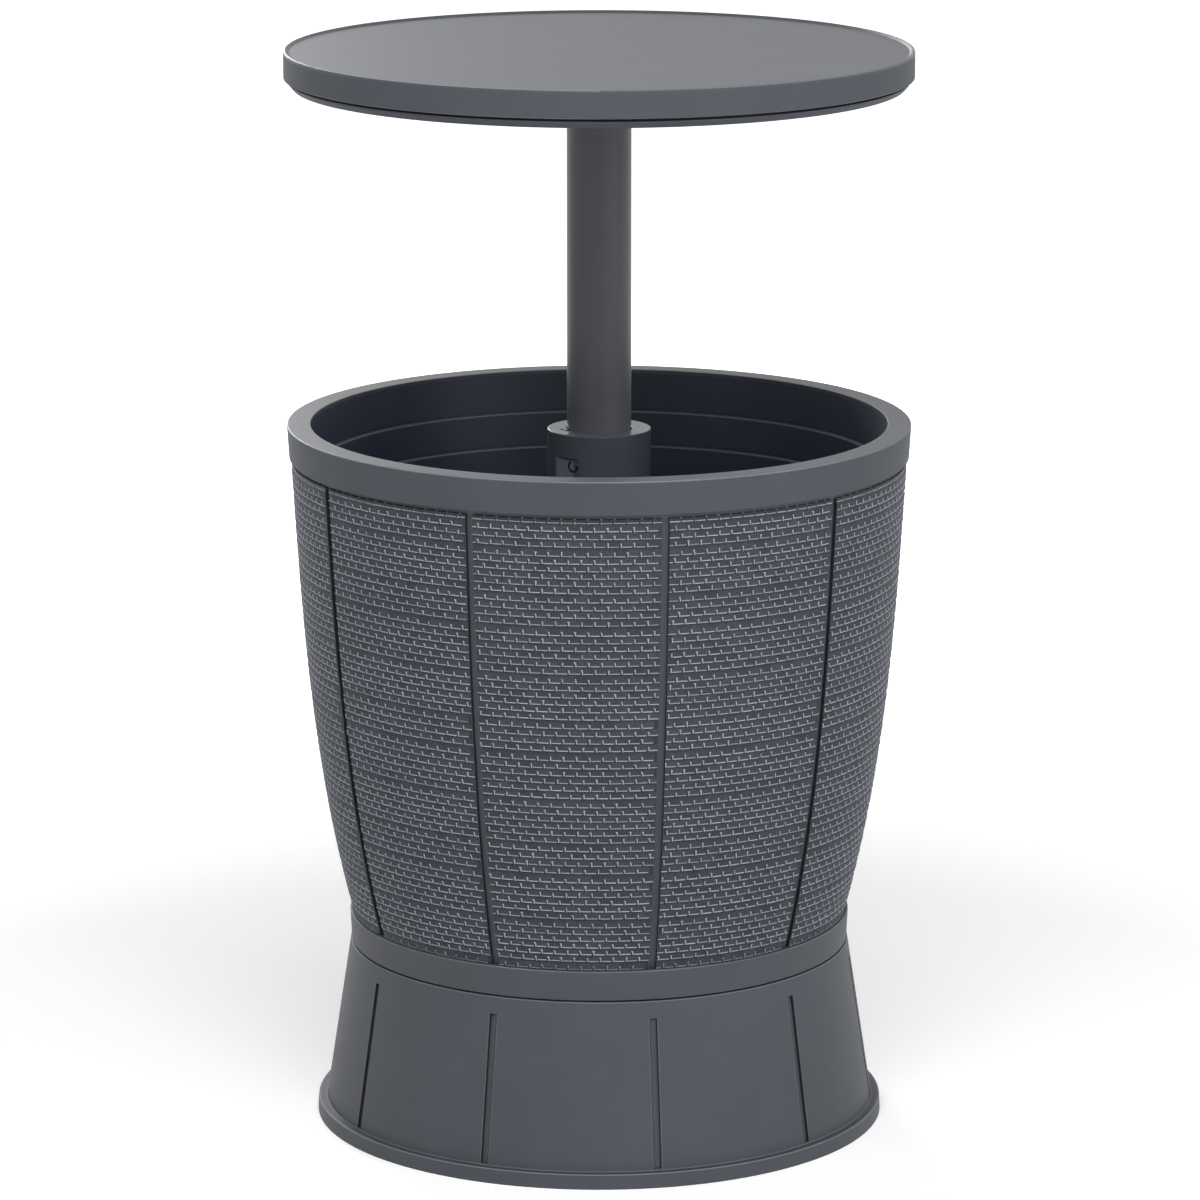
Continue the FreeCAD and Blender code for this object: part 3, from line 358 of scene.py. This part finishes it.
class Finish:
    """A material: Principled shader, mould grain and a slightly cloudy colour."""

    def __init__(self, name, colour, roughness, grain=1500.0, depth=0.1, clouds=18.0,
                 cloudiness=0.08):
        self.material = bpy.data.materials.new(name)
        self.material.use_nodes = True
        self.tree = self.material.node_tree
        self.shader = self.tree.nodes["Principled BSDF"]
        self.shader.inputs["IOR"].default_value = PLASTIC_IOR
        grains = self.group(GRAIN, {"Grain per metre": grain, "Clouds per metre": clouds})
        self.cloud = grains["Cloud"]
        self.colour = self.cloudy(colour, cloudiness)
        self.tree.links.new(self.colour, self.shader.inputs["Base Color"])
        spread = maths(self.tree, "MULTIPLY", self.cloud, ROUGHNESS_SPREAD)
        self.roughness = maths(self.tree, "ADD", spread, roughness - ROUGHNESS_SPREAD / 2)
        self.tree.links.new(self.roughness, self.shader.inputs["Roughness"])
        bump = add(self.tree, "ShaderNodeBump")
        bump.inputs["Strength"].default_value = depth
        bump.inputs["Distance"].default_value = GRAIN_HEIGHT
        self.tree.links.new(grains["Height"], bump.inputs["Height"])
        self.tree.links.new(bump.outputs["Normal"], self.shader.inputs["Normal"])

    def group(self, tree, values):
        """Outputs of a shader group placed with its own values."""
        node = add(self.tree, "ShaderNodeGroup", node_tree=tree)
        for name, value in values.items():
            node.inputs[name].default_value = value
        return node.outputs

    def cloudy(self, colour, cloudiness):
        """Colour that varies a little with the clouds."""
        ramp = add(self.tree, "ShaderNodeValToRGB")
        stops = ((0.3, 1 - cloudiness), (0.7, 1 + cloudiness))
        for element, (place, gain) in zip(ramp.color_ramp.elements, stops):
            element.position = place
            element.color = (*[c * gain for c in colour], 1)
        self.tree.links.new(self.cloud, ramp.inputs["Fac"])
        return ramp.outputs["Color"]

    def tint(self, mask, colour, strength=1.0):
        """Lays another colour over what is there, where the mask is 1."""
        mix = add(self.tree, "ShaderNodeMix", data_type="RGBA")
        mix.inputs["B"].default_value = (*colour, 1)
        self.tree.links.new(maths(self.tree, "MULTIPLY", mask, strength), mix.inputs["Factor"])
        self.tree.links.new(self.colour, mix.inputs["A"])
        self.colour = mix.outputs["Result"]
        self.tree.links.new(self.colour, self.shader.inputs["Base Color"])

    def smoother(self, mask, amount):
        """Takes some roughness away where the mask is 1."""
        taken = maths(self.tree, "MULTIPLY", mask, amount)
        less = maths(self.tree, "SUBTRACT", self.roughness, taken)
        self.tree.links.new(less, self.shader.inputs["Roughness"])

    def band(self, low, high, soft):
        """Mask that is 1 between two heights."""
        return self.group(HEIGHT_BAND, {"Low": low, "High": high, "Soft": soft})["Mask"]

    def near(self, value, target, reach):
        """Mask that is 1 where a value meets its target."""
        gap = maths(self.tree, "ABSOLUTE", maths(self.tree, "SUBTRACT", value, target))
        away = maths(self.tree, "DIVIDE", gap, reach)
        return maths(self.tree, "SUBTRACT", 1, away, clamp=True)

    def beyond(self, value, limit, soft):
        """Mask that is 1 where a value is over its limit."""
        past = maths(self.tree, "SUBTRACT", value, limit)
        return maths(self.tree, "DIVIDE", past, soft, clamp=True)

    def within(self, value, limit, soft):
        """Mask that is 1 where a value is under its limit."""
        return maths(self.tree, "SUBTRACT", 1, self.beyond(value, limit, soft))

    def both(self, first, second):
        """Mask that is 1 where two masks are."""
        return maths(self.tree, "MULTIPLY", first, second)

    def seam_distance(self):
        """Distance from the middle of the nearest seam or slot."""
        values = {"First seam": FIRST_SEAM, "Step": FIELD_STEP}
        return self.group(SEAM_DISTANCE, values)["Distance"]

    def painted_edge_highlight(self, radius, height, reach, strength):
        """Painted highlight along a turned edge, patchy as the clouds are."""
        values = {"Radius": radius, "Height": height, "Reach": reach}
        ring = self.group(EDGE_RING, values)["Mask"]
        patchy = maths(self.tree, "ADD", maths(self.tree, "MULTIPLY", self.cloud, 0.6), 0.7)
        highlight_mask = maths(self.tree, "MULTIPLY", ring, patchy, clamp=True)
        self.tint(highlight_mask, EDGE_HIGHLIGHT_COLOUR, strength)


def graphite(name, edges=(), colour=BODY_COLOUR, roughness=0.66):
    """Satin slate-grey moulding with painted highlights along its edges."""
    finish = Finish(name, colour, roughness)
    for edge in edges:
        finish.painted_edge_highlight(*edge)
    return finish


def make_lid():
    """Lid: painted highlights along its edges, a smoother top, and painted shade on the feet of
    the bosses inside.
    """
    finish = graphite("lid_plastic", LID_EDGES)
    # Painted shade on the feet of the bosses inside
    finish.tint(finish.band(*LID_BOSSES), SHADE_COLOUR)
    finish.smoother(finish.band(*LID_FACE), POLISH)
    return finish.material


def make_lid_underside():
    """Lower skin of the lid, with painted shade inside the shadow groove."""
    finish = graphite("lid_underside_plastic", colour=UNDERSIDE_COLOUR)
    # Painted shade inside the shadow groove
    inner = finish.within(shaded_point(finish.tree)[3], GROOVE_R, 0.0003)
    finish.tint(finish.both(finish.band(*GROOVE_WALL), inner), SHADE_COLOUR)
    return finish.material


def make_rim():
    """Rim ring: painted highlights along its edges and a smoother top."""
    finish = graphite("rim_plastic", RIM_EDGES)
    finish.smoother(finish.band(*RIM_FACE), POLISH)
    return finish.material


def make_base():
    """Base: painted highlights along its edges, painted shade on the foot ledge, and slots with
    painted shade on their walls and ends and a painted highlight along their borders.
    """
    finish = graphite("base_plastic", BASE_EDGES, roughness=0.56)
    _, _, z, radius = shaded_point(finish.tree)
    # Painted shade on the foot ledge
    ledge = finish.both(finish.near(radius, LEDGE_R, LEDGE_REACH), finish.band(*FOOT_LEDGE))
    finish.tint(ledge, SHADE_COLOUR, 0.5)
    side = finish.seam_distance()
    height = finish.band(*SLOTS)
    # Painted highlight on each slot's border and painted shade on its walls
    for target, colour, strength in SLOT_LINES:
        finish.tint(finish.both(finish.near(side, target, LINE_REACH), height), colour, strength)
    # Painted shade across the slots' ends
    foot, head = (finish.near(z, end, SLOT_END_REACH) for end in SLOT_ENDS)
    ends = maths(finish.tree, "MAXIMUM", foot, head)
    finish.tint(finish.both(ends, finish.within(side, SLOT_HALF_WIDTH, 0.0002)), WALL_SHADE_COLOUR, 0.8)
    return finish.material


def make_barrel():
    """Barrel: painted shade on the ground behind the strands and on the seams' walls, painted
    light on the neck under the rim, and a plain band with painted highlights along its edges.
    """
    finish = graphite("barrel_plastic", BARREL_EDGES, roughness=0.56)
    # Painted light on the neck, where the rim's skirt shades it
    finish.tint(finish.band(*NECK), NECK_LIGHT_COLOUR)
    seam = finish.seam_distance()
    fields = finish.band(*FIELDS)
    # Painted shade on the ground behind the strands
    finish.tint(finish.both(finish.beyond(seam, FIELD_SIDE, 0.0002), fields), FIBRE_AND_SHADE_COLOUR)
    # Painted shade on the seams' walls
    wall = finish.both(finish.near(seam, SEAM_WIDTH / 2, LINE_REACH), fields)
    finish.tint(wall, WALL_SHADE_COLOUR, 0.95)
    return finish.material


def make_woven():
    """The strands: pads with a fibrous mottle and a random tone, painted shade at their feet and
    heads, and painted highlights on the lips and ticks.
    """
    finish = Finish("woven_plastic", PAD_COLOUR, 0.66, grain=1100.0, depth=0.3, clouds=520.0,
                    cloudiness=0.2)
    tree = finish.tree
    along = add(tree, "ShaderNodeMapping")
    along.inputs["Scale"].default_value = (420, 420, 1400)
    tree.links.new(add(tree, "ShaderNodeTexCoord").outputs["Object"], along.inputs["Vector"])
    fibres = add(tree, "ShaderNodeTexNoise")
    fibres.inputs["Scale"].default_value = 1
    fibres.inputs["Detail"].default_value = 3
    tree.links.new(along.outputs["Vector"], fibres.inputs["Vector"])
    finish.tint(finish.beyond(fibres.outputs["Fac"], 0.42, 0.2), FIBRE_AND_SHADE_COLOUR, 0.6)
    # Painted shade where each strand dives under the next row and under its lip; the same
    # attribute also carries each pad's random tone
    shade = add(tree, "ShaderNodeAttribute", attribute_name="shade").outputs["Fac"]
    finish.tint(maths(tree, "POWER", shade, 2.5), FIBRE_AND_SHADE_COLOUR, 0.95)
    # Painted highlights on the lips and ticks
    crest = add(tree, "ShaderNodeAttribute", attribute_name="crest").outputs["Fac"]
    finish.tint(maths(tree, "POWER", crest, 1.5, clamp=True), CREST_HIGHLIGHT_COLOUR)
    return finish.material


def make_liner():
    """Dark inner tub, with a painted highlight on each of its two steps below a painted shadow
    line.
    """
    finish = Finish("liner_plastic", LINER_COLOUR, 0.5, grain=1300.0, depth=0.06)
    # At each step, a painted highlight with a painted shadow line above it
    for step in LINER_STEPS:
        finish.tint(finish.band(step - 0.0018, step + 0.0002, 0.0009), LINER_STEP_HIGHLIGHT_COLOUR)
        finish.tint(finish.band(step + 0.0004, step + 0.0016, 0.0004), SHADE_COLOUR)
    return finish.material


def make_collar():
    """Clamp collar: painted light on its top and a painted reflection on its thumb facet."""
    finish = Finish("collar_plastic", COLLAR_COLOUR, 0.3, depth=0.06)
    finish.shader.inputs["IOR"].default_value = 1.33
    # Painted light on the top face
    finish.tint(finish.band(*COLLAR_FACE), COLLAR_TOP_LIGHT_COLOUR)
    # Painted reflection on the thumb facet
    x, y, _, radius = shaded_point(finish.tree)
    facet = finish.both(finish.beyond(radius, FACET_INNER_R, 0.001),
                        finish.within(radius, FACET_OUTER_R, 0.0003))
    facet = finish.both(facet, finish.band(*FACET))
    turn = turn_from_front(finish.tree, x, y)
    facet = finish.both(facet, finish.within(turn, FACET_END, 0.01))
    finish.tint(facet, FACET_REFLECTION_COLOUR)
    return finish.material


def make_mark_ink():
    """Dull dark print, which reflects next to nothing."""
    finish = Finish("collar_mark", INK_COLOUR, 0.8, grain=1300.0, depth=0.06)
    finish.shader.inputs["IOR"].default_value = 1.1
    return finish.material


def make_zinc():
    """Zinc-plated steel of the screws and pins."""
    finish = Finish("zinc_steel", ZINC_COLOUR, 0.32, grain=900.0, depth=0.08, clouds=260.0)
    finish.shader.inputs["Metallic"].default_value = 1
    return finish.material


LID = make_lid()
LID_UNDERSIDE = make_lid_underside()
RIM = make_rim()
BASE = make_base()
BARREL = make_barrel()
WOVEN = make_woven()
LINER = make_liner()
COLLAR = make_collar()
WORKS = Finish("hidden_works_plastic", WORKS_COLOUR, 0.42, grain=1300.0).material
POST = Finish("post_coat", POST_COLOUR, 0.42, grain=420.0, clouds=30.0).material
MARK_INK = make_mark_ink()
RUBBER = Finish("soft_rubber", RUBBER_COLOUR, 0.75, grain=2200.0, depth=0.25).material
ZINC = make_zinc()

FINISHES = {
    "table_top": LID,
    "table_underside": LID_UNDERSIDE,
    "rim_ring": RIM,
    "base_skirt": BASE,
    "barrel_shell": BARREL,
    "liner_tub": LINER,
    "guide_tube": WORKS,
    "collet": WORKS,
    "guide_shoe": WORKS,
    "post_head": WORKS,
    "drain_fitting": WORKS,
    "drain_nut": WORKS,
    "collar": COLLAR,
    "post_tube": POST,
    "drain_plug": RUBBER,
    "drain_washer": RUBBER,
    "lid_seal": RUBBER,
    "base_screws": ZINC,
    "guide_screws": ZINC,
    "hub_screws": ZINC,
    "lid_screws": ZINC,
    "shoe_pin": ZINC,
    "head_pin": ZINC,
}
for name, material in FINISHES.items():
    materials = nodes[name].data.materials
    materials.clear()
    materials.append(material)


# Weave
def row_places():
    """Foot height and pitch of each row of strands, from the lowest row up."""
    z = LOWEST_ROW
    places = []
    group = 0
    while len(places) < ROW_COUNT:
        count, first_step, later_step = ROW_GROUPS[group % len(ROW_GROUPS)]
        for k in range(count):
            step = later_step if k else first_step
            foot = z - LIP_TOP / 2
            places.append((foot, min(step, FIELD_TOP - foot)))
            z += step
        group += 1
    return places[:ROW_COUNT]


class Row:
    """One row's foot, pitch and the strength of its painted highlights, and the barrel's face
    behind it.
    """

    def __init__(self, z, pitch, middle, tone, light):
        self.z = z
        self.tone = tone * light
        self.light = light
        self.pitch = pitch
        self.low_r = ray_radius("barrel_shell", middle, z)
        high_r = ray_radius("barrel_shell", middle, z + pitch)
        self.lean = (high_r - self.low_r) / pitch
        self.half = self.low_r * FIELD_STEP / 2 - SEAM_WIDTH / 2

    def spot(self, middle, along, up, height):
        """Point on the barrel: along the row, up from its foot and out from the face."""
        slant = math.hypot(1, self.lean)
        radius = self.low_r + self.lean * up
        angle = middle + along / radius
        radius += height / slant
        z = self.z + up - self.lean * height / slant
        return Vector((radius * math.sin(angle), -radius * math.cos(angle), z))


def strand_template():
    """Closed patch of faces in rows and columns, and the station of each of its corners."""
    half = PATCH_FACES / 2
    bm = bmesh.new()
    bmesh.ops.create_grid(bm, x_segments=PATCH_FACES, y_segments=PATCH_FACES, size=half)
    stations = [(round(v.co.x + half), round(v.co.y + half)) for v in bm.verts]
    bmesh.ops.holes_fill(bm, edges=[e for e in bm.edges if e.is_boundary], sides=0)
    mesh = bpy.data.meshes.new("strand_template")
    bm.to_mesh(mesh)
    bm.free()
    return mesh, stations


class Strand:
    """Stations of one strand: where each corner of its patch lies, and how high."""

    def __init__(self, start, row, dice):
        end = start + STRAND_PITCH
        self.ticked = start > -row.half
        self.start = max(start, -row.half)
        self.end = min(end, row.half)
        self.pitch = row.pitch
        self.lip_end = min(end - dice.uniform(*LIP_GAPS), self.end)
        self.lean = dice.uniform(*TICK_LEANS)
        self.tick_top = min(dice.uniform(*TICK_TOPS), row.pitch - 3 * FLANK)
        self.foot_drop = dice.choice(FOOT_DROPS)
        self.left_flare = dice.choice(LEFT_FLARES)
        self.right_flare = dice.choice(RIGHT_FLARES)
        self.slope = dice.uniform(*LIP_SLOPES)
        self.crest = CREST_H * dice.uniform(*CREST_GAINS)
        # How strong the painted highlights on the lip and the tick are, and the pad's random tone
        self.lip_tone = row.tone * dice.uniform(*LIP_TONES)
        self.tick_tone = row.light * dice.uniform(*TICK_TONES)
        self.pad_shade = dice.uniform(*PAD_SHADES)

    def fits(self):
        """Whether the field's borders leave enough of it."""
        return self.end - self.start > SHORTEST_STRAND

    def place(self, column, row):
        """How far along the row, and up from its foot, a corner of the patch lies."""
        tick_right = FLANK + TICK_WIDTH
        pad_left = tick_right + PAD_SIDE
        if column <= LIP_LEFT:
            columns = (0, FLANK, tick_right, pad_left, pad_left + LIP_SIDE)
            along = self.start + columns[column]
        else:
            pad_end = self.lip_end if row <= LIP_HEAD else self.end - FLANK
            along = (self.lip_end - LIP_SIDE, pad_end, self.end)[column - LIP_RIGHT]
        up = (0, FLANK, LIP_TOP, PAD_FOOT, SERIF_FOOT,
              self.tick_top, self.tick_top + 2 * FLANK, self.pitch)[row]
        if self.ticked and LIP_HEAD < row < HEAD_EDGE and column <= PAD_LEFT:
            along -= self.lean * (up - LIP_TOP) / self.tick_top
        if self.ticked and row in (TICK_HEAD, OVER_TICK):
            if column <= TICK_LEFT:
                along -= self.left_flare
            elif column <= PAD_LEFT:
                along += self.right_flare
        if row <= PAD_ROW:
            up += self.slope * (along - self.start) / STRAND_PITCH
        if self.ticked and row <= LIP_ROW and column <= TICK_RIGHT:
            up -= self.foot_drop
        return along, up

    def form(self, column, row):
        """Height over the barrel's face, strength of the painted highlight, and shade at a corner
        of the patch: painted shade along its foot and head, none on lip and tick, the pad's random
        tone elsewhere.
        """
        if row in (FOOT_EDGE, HEAD_EDGE):
            return PAD_HEAD_H if row else STRAND_ROOT, 0, 1
        if column in (LEFT_EDGE, RIGHT_EDGE):
            return STRAND_ROOT, 0, self.pad_shade
        if self.ticked and column <= TICK_RIGHT and row <= TICK_HEAD:
            return self.crest, self.tick_tone, 0
        in_lip = column in (LIP_LEFT, LIP_RIGHT) or column <= PAD_LEFT and not self.ticked
        if row <= LIP_HEAD and in_lip:
            return self.crest if row == LIP_ROW else LIP_TOP_H, self.lip_tone, 0
        return PAD_FOOT_H if row <= PAD_ROW else PAD_MIDDLE_H, 0, self.pad_shade


def make_panel(index, template, stations):
    """One woven field: strands in running bond, cut off at the field's two borders."""
    dice = random.Random(PANEL_SEED + index)
    middle = FIRST_SEAM + FIELD_STEP * (index + 0.5)
    bm = bmesh.new()
    # crest carries the strength of the painted highlights, shade the painted shade and each pad's
    # random tone
    paleness = bm.verts.layers.float.new("crest")
    shade = bm.verts.layers.float.new("shade")
    count = 0
    for number, (z, pitch) in enumerate(row_places()):
        light = 1.0 if number else LOWEST_ROW_LIGHT
        row = Row(z, pitch, middle, dice.uniform(*ROW_TONES), light)
        shift = COLUMN_SHIFT + (STRAND_PITCH / 2 if number % 2 else 0)
        first = math.floor((-row.half - shift) / STRAND_PITCH)
        last = math.ceil((row.half - shift) / STRAND_PITCH)
        for k in range(first, last):
            strand = Strand(shift + k * STRAND_PITCH, row, dice)
            if not strand.fits():
                continue
            bm.from_mesh(template)
            bm.verts.ensure_lookup_table()
            for v, station in zip(bm.verts[count:], stations):
                height, v[paleness], v[shade] = strand.form(*station)
                v.co = row.spot(middle, *strand.place(*station), height)
            count = len(bm.verts)
    bmesh.ops.recalc_face_normals(bm, faces=bm.faces)
    return mesh_object(f"weave_panel_{index + 1:02d}", bm, WOVEN, "barrel")


template, stations = strand_template()
for index in range(FIELD_COUNT):
    make_panel(index, template, stations)
bpy.data.meshes.remove(template)


# Collar
def turn_arrow():
    """Flat turn arrow, about 10 mm across, in the XZ plane: an open ring and its head."""
    bm = bmesh.new()
    line = [bm.verts.new((r, 0, 0)) for r in ARROW_RING]
    edge = bm.edges.new(line)
    bmesh.ops.spin(bm, geom=[*line, edge], axis=(0, 1, 0), cent=(0, 0, 0), angle=ARROW_SWEEP,
                   steps=20)
    head = bmesh.ops.create_circle(bm, cap_ends=True, segments=3, radius=ARROW_HEAD_R)["verts"]
    bmesh.ops.rotate(bm, verts=head, matrix=Matrix.Rotation(math.radians(90), 3, "X"))
    bmesh.ops.rotate(bm, verts=head, matrix=Matrix.Rotation(ARROW_HEAD_TURN, 3, "Y"))
    bmesh.ops.translate(bm, verts=head, vec=ARROW_HEAD_PLACE)
    return bm


def thicken_mark(bm):
    """Gives a flat mark its depth towards +Y."""
    made = bmesh.ops.extrude_face_region(bm, geom=bm.faces[:])["geom"]
    moved = [g for g in made if isinstance(g, bmesh.types.BMVert)]
    bmesh.ops.translate(bm, verts=moved, vec=(0, MARK_DEPTH, 0))
    bmesh.ops.recalc_face_normals(bm, faces=bm.faces)


def make_facet_mark():
    """Turn arrow on the right half of the collar's thumb facet, sunk to half its depth."""
    bm = turn_arrow()
    thicken_mark(bm)
    place = (ARROW_ALONG, -FACET_R - MARK_DEPTH / 2, ARROW_HEIGHT)
    bmesh.ops.translate(bm, verts=bm.verts, vec=place)
    bmesh.ops.rotate(bm, verts=bm.verts, matrix=Matrix.Rotation(FACET_ANGLE, 3, "Z"))
    return mesh_object("collar_turn_arrow", bm, MARK_INK, "collar")


def make_top_marks():
    """Two dashes on the collar's top, on its left side, sunk to half their depth."""
    bm = bmesh.new()
    for x, y, length, width, lean in TOP_DASHES:
        made = bmesh.ops.create_cube(bm, size=1)["verts"]
        bmesh.ops.scale(bm, verts=made, vec=(length, width, 2 * MARK_DEPTH))
        bmesh.ops.rotate(bm, verts=made, matrix=Matrix.Rotation(math.radians(lean), 3, "Z"))
        bmesh.ops.translate(bm, verts=made, vec=(x, y, COLLAR_TOP))
    return mesh_object("collar_top_marks", bm, MARK_INK, "collar")


make_facet_mark()
make_top_marks()


# Studio
def make_floor():
    """Pale floor that keeps the table's soft shadow and glows further out."""
    bm = bmesh.new()
    bmesh.ops.create_circle(bm, cap_ends=True, segments=96, radius=FLOOR_R)
    mesh = bpy.data.meshes.new("studio_floor")
    bm.to_mesh(mesh)
    bm.free()
    material = bpy.data.materials.new("floor_paper")
    material.use_nodes = True
    tree = material.node_tree
    shader = tree.nodes["Principled BSDF"]
    shader.inputs["Base Color"].default_value = (0.93, 0.93, 0.93, 1)
    shader.inputs["Roughness"].default_value = 0.9
    shader.inputs["Emission Color"].default_value = (1, 1, 1, 1)
    seen = seen_mask(tree)
    past = maths(tree, "SUBTRACT", shaded_point(tree)[3], GLOW_START)
    out = maths(tree, "DIVIDE", past, GLOW_REACH, clamp=True)
    glow = maths(tree, "ADD", maths(tree, "MULTIPLY", out, 1 - FLOOR_GLOW), FLOOR_GLOW)
    tree.links.new(maths(tree, "MULTIPLY", seen, glow), shader.inputs["Emission Strength"])
    mesh.materials.append(material)
    floor = bpy.data.objects.new("studio_floor", mesh)
    bpy.context.scene.collection.objects.link(floor)


def make_world():
    """Even pale surroundings: white where they are seen, straight or in a reflection."""
    world = bpy.data.worlds.new("studio")
    bpy.context.scene.world = world
    world.use_nodes = True
    tree = world.node_tree
    tree.nodes.clear()
    seen = seen_mask(tree)
    soft = add(tree, "ShaderNodeBackground")
    soft.inputs["Color"].default_value = (0.97, 0.985, 1, 1)
    soft.inputs["Strength"].default_value = SURROUND_LIGHT
    white = add(tree, "ShaderNodeBackground")
    white.inputs["Color"].default_value = (1, 1, 1, 1)
    mix = add(tree, "ShaderNodeMixShader")
    out = add(tree, "ShaderNodeOutputWorld")
    tree.links.new(seen, mix.inputs[0])
    tree.links.new(soft.outputs[0], mix.inputs[1])
    tree.links.new(white.outputs[0], mix.inputs[2])
    tree.links.new(mix.outputs[0], out.inputs[0])


def make_soft_box(name, place, target, width, height, power):
    """White area light that faces its target and stays out of the picture."""
    data = bpy.data.lights.new(name, "AREA")
    data.shape = "RECTANGLE"
    data.size = width
    data.size_y = height
    data.energy = power
    light = bpy.data.objects.new(name, data)
    light.visible_camera = False
    bpy.context.scene.collection.objects.link(light)
    light.location = place
    facing = (Vector(target) - Vector(place)).to_track_quat("-Z", "Y")
    light.rotation_euler = facing.to_euler()


def make_camera():
    """The photograph's view: a long lens that looks a little down."""
    data = bpy.data.cameras.new("view")
    data.sensor_width = 36
    data.lens = CAMERA_LENS
    data.shift_x = CAMERA_SHIFT
    data.clip_end = 100
    camera = bpy.data.objects.new("view", data)
    bpy.context.scene.collection.objects.link(camera)
    camera.location = CAMERA_PLACE
    camera.rotation_euler = (math.radians(90 - CAMERA_DIP), 0, 0)
    bpy.context.scene.camera = camera


make_floor()
make_world()
for box in SOFT_BOXES:
    make_soft_box(*box)
make_camera()
bpy.context.scene.view_settings.view_transform = "Standard"
